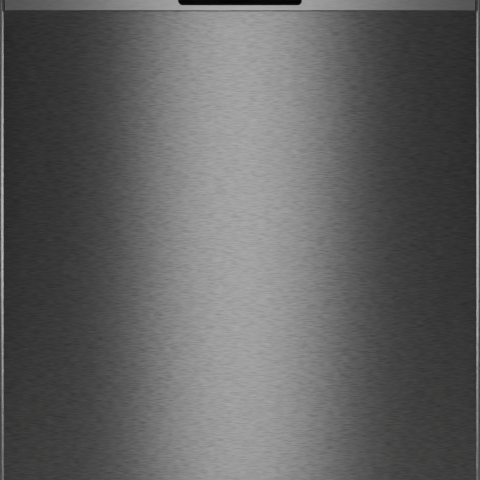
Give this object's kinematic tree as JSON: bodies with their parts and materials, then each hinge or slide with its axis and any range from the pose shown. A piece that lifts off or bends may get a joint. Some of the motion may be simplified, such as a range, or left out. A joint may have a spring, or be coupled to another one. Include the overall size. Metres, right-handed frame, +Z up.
{
  "type": "dishwasher",
  "caption": "Built-in dishwasher: dark brushed steel fold-down door with a pocket grip in its fascia, steel tub, wire racks and spray arms.",
  "frame": {"origin": "on the floor under the middle of the machine, halfway between the door front and the back panel", "axes": "+X right as seen from the front, +Y to the back, +Z up"},
  "size_m": [0.598, 0.573, 0.815],
  "materials": {
    "black_steel": "dark brushed stainless steel, grain along X",
    "stainless": "bright stainless steel sheet",
    "galvanised": "galvanised steel sheet",
    "black_plastic": "fine-grained black moulding",
    "grey_plastic": "grey moulding",
    "light_plastic": "off-white moulding",
    "gloss_black": "smoked window",
    "dark_paint": "dark grey powder coat",
    "felt": "bitumen and fleece mat",
    "bitumen": "bitumen sheet",
    "seal_rubber": "soft black rubber",
    "coated_wire": "grey polyamide coating on steel wire",
    "spring_steel": "spring steel",
    "filter_steel": "perforated steel",
    "blue_plastic": "blue moulding"
  },
  "bodies": {
    "cabinet": {"base_pan": "black_plastic", "tub": "stainless", "tub_insulation": "felt", "left_side_panel": "dark_paint", "right_side_panel": "dark_paint", "back_panel": "galvanised", "top_cover": "galvanised", "worktop_brackets": "galvanised", "door_gasket": "seal_rubber", "plinth_panel": "dark_paint", "hinge_brackets": "galvanised", "door_springs": "spring_steel", "sump": "grey_plastic", "filter_plate": "filter_steel", "circulation_pump": "black_plastic", "drain_pump": "black_plastic", "water_softener": "light_plastic", "water_feed_pipe": "grey_plastic", "inlet_valve": "light_plastic", "mains_inlet": "black_plastic", "door_strike": "stainless", "lower_rails": "stainless", "upper_rails": "stainless"},
    "door": {"door_outer_panel": "black_steel", "fascia_body": "black_plastic", "fascia_cover": "black_steel", "handle_cup": "black_plastic", "display_window": "gloss_black", "control_module": "black_plastic", "door_inner_panel": "stainless", "door_insulation": "bitumen", "dispenser": "grey_plastic", "hinge_arms": "galvanised", "door_bottom_seal": "seal_rubber", "door_screws": "stainless"},
    "upper_rack": {"upper_rack": "coated_wire", "upper_spray_feed": "grey_plastic"},
    "lower_rack": {"lower_rack": "coated_wire", "cutlery_basket": "grey_plastic"},
    "lower_spray_arm": {"lower_spray_arm": "grey_plastic"},
    "ceiling_spray_arm": {"ceiling_spray_arm": "grey_plastic"},
    "pump_impeller": {"pump_impeller": "light_plastic"},
    "filter_cylinder": {"filter_cylinder": "grey_plastic"},
    "salt_cap": {"salt_cap": "light_plastic"},
    "left_foot": {"left_foot": "black_plastic"},
    "right_foot": {"right_foot": "black_plastic"},
    "rear_foot": {"rear_foot": "black_plastic"},
    "dispenser_lid": {"dispenser_lid": "grey_plastic"},
    "rinse_aid_cap": {"rinse_aid_cap": "blue_plastic"},
    "latch_hook": {"latch_hook": "stainless"},
    "power_button": {"power_button": "black_steel"},
    "start_button": {"start_button": "black_steel"},
    "program_button": {"program_button": "black_steel"},
    "rail_sliders": {"rail_sliders": "stainless"},
    "rack_carriers": {"rack_carriers": "stainless"},
    "upper_spray_arm": {"upper_spray_arm": "grey_plastic"},
    "cup_shelf": {"cup_shelf": "coated_wire"},
    "lower_tines": {"lower_tines": "coated_wire"},
    "front_wheels": {"front_wheels": "grey_plastic"},
    "rear_wheels": {"rear_wheels": "grey_plastic"}
  },
  "joints": [
    {"name": "door_hinge", "type": "hinge", "parent": "cabinet", "child": "door", "pos_m": [0, -0.27, 0.12], "axis": [1, 0, 0], "range_deg": [0, 90], "stiffness_Nm_per_rad": 20, "deforming": ["door_springs"]},
    {"name": "rail_slide", "type": "slide", "parent": "cabinet", "child": "rail_sliders", "axis": [0, -1, 0], "range_m": [0, 0.21]},
    {"name": "upper_rack_slide", "type": "slide", "parent": "rail_sliders", "child": "rack_carriers", "axis": [0, -1, 0], "range_m": [0, 0.21]},
    {"name": "upper_rack_lift", "type": "slide", "parent": "rack_carriers", "child": "upper_rack", "axis": [0, 0, 1], "range_m": [0, 0.05]},
    {"name": "upper_arm_spin", "type": "hinge", "parent": "upper_rack", "child": "upper_spray_arm", "pos_m": [0, 0.012, 0.444], "axis": [0, 0, 1], "continuous": true},
    {"name": "cup_shelf_fold", "type": "hinge", "parent": "upper_rack", "child": "cup_shelf", "pos_m": [-0.23, 0.012, 0.555], "axis": [0, -1, 0], "range_deg": [0, 85]},
    {"name": "lower_rack_slide", "type": "slide", "parent": "cabinet", "child": "lower_rack", "axis": [0, -1, 0], "range_m": [0, 0.14]},
    {"name": "tine_fold", "type": "hinge", "parent": "lower_rack", "child": "lower_tines", "pos_m": [-0.114, 0.012, 0.2126], "axis": [0, -1, 0], "range_deg": [0, 88]},
    {"name": "front_wheel_roll", "type": "hinge", "parent": "lower_rack", "child": "front_wheels", "pos_m": [0, -0.13, 0.1862], "axis": [1, 0, 0], "range_deg": [0, 480]},
    {"name": "rear_wheel_roll", "type": "hinge", "parent": "lower_rack", "child": "rear_wheels", "pos_m": [0, 0.18, 0.1862], "axis": [1, 0, 0], "range_deg": [0, 480]},
    {"name": "lower_arm_spin", "type": "hinge", "parent": "cabinet", "child": "lower_spray_arm", "pos_m": [0, 0.012, 0.174], "axis": [0, 0, 1], "continuous": true},
    {"name": "ceiling_arm_spin", "type": "hinge", "parent": "cabinet", "child": "ceiling_spray_arm", "pos_m": [0, 0.012, 0.775], "axis": [0, 0, 1], "continuous": true},
    {"name": "impeller_spin", "type": "hinge", "parent": "cabinet", "child": "pump_impeller", "pos_m": [0.114, -0.068, 0.076], "axis": [1, 0, 0], "continuous": true},
    {"name": "filter_turn", "type": "hinge", "parent": "cabinet", "child": "filter_cylinder", "pos_m": [0, -0.068, 0.15], "axis": [0, 0, 1], "range_deg": [0, 90]},
    {"name": "salt_cap_turn", "type": "hinge", "parent": "cabinet", "child": "salt_cap", "pos_m": [-0.186, -0.078, 0.15], "axis": [0, 0, 1], "range_deg": [0, 360]},
    {"name": "left_foot_adjust", "type": "slide", "parent": "cabinet", "child": "left_foot", "axis": [0, 0, -1], "range_m": [0, 0.06]},
    {"name": "right_foot_adjust", "type": "slide", "parent": "cabinet", "child": "right_foot", "axis": [0, 0, -1], "range_m": [0, 0.06]},
    {"name": "rear_foot_adjust", "type": "slide", "parent": "cabinet", "child": "rear_foot", "axis": [0, 0, -1], "range_m": [0, 0.06]},
    {"name": "power_press", "type": "slide", "parent": "door", "child": "power_button", "axis": [0, 1, 0], "range_m": [0, 0.0012], "stiffness_N_per_m": 400},
    {"name": "start_press", "type": "slide", "parent": "door", "child": "start_button", "axis": [0, 1, 0], "range_m": [0, 0.0012], "stiffness_N_per_m": 400},
    {"name": "program_press", "type": "slide", "parent": "door", "child": "program_button", "axis": [0, 1, 0], "range_m": [0, 0.0012], "stiffness_N_per_m": 400},
    {"name": "lid_flip", "type": "hinge", "parent": "door", "child": "dispenser_lid", "pos_m": [-0.087, -0.2188, 0.3892], "axis": [0, 0, 1], "range_deg": [0, 95]},
    {"name": "rinse_cap_flip", "type": "hinge", "parent": "door", "child": "rinse_aid_cap", "pos_m": [0.054, -0.2186, 0.4148], "axis": [1, 0, 0], "range_deg": [0, 105]},
    {"name": "latch_turn", "type": "hinge", "parent": "door", "child": "latch_hook", "pos_m": [0, -0.269, 0.798], "axis": [1, 0, 0], "range_deg": [0, 18]}
  ],
  "couplings": [
    {"joint": "rail_slide", "follows": "door_hinge", "m_per_rad": 0.13368},
    {"joint": "upper_rack_slide", "follows": "door_hinge", "m_per_rad": 0.13368},
    {"joint": "lower_rack_slide", "follows": "door_hinge", "m_per_rad": 0.089117},
    {"joint": "front_wheel_roll", "follows": "door_hinge", "ratio": 5.2428},
    {"joint": "rear_wheel_roll", "follows": "door_hinge", "ratio": 5.2428}
  ]
}
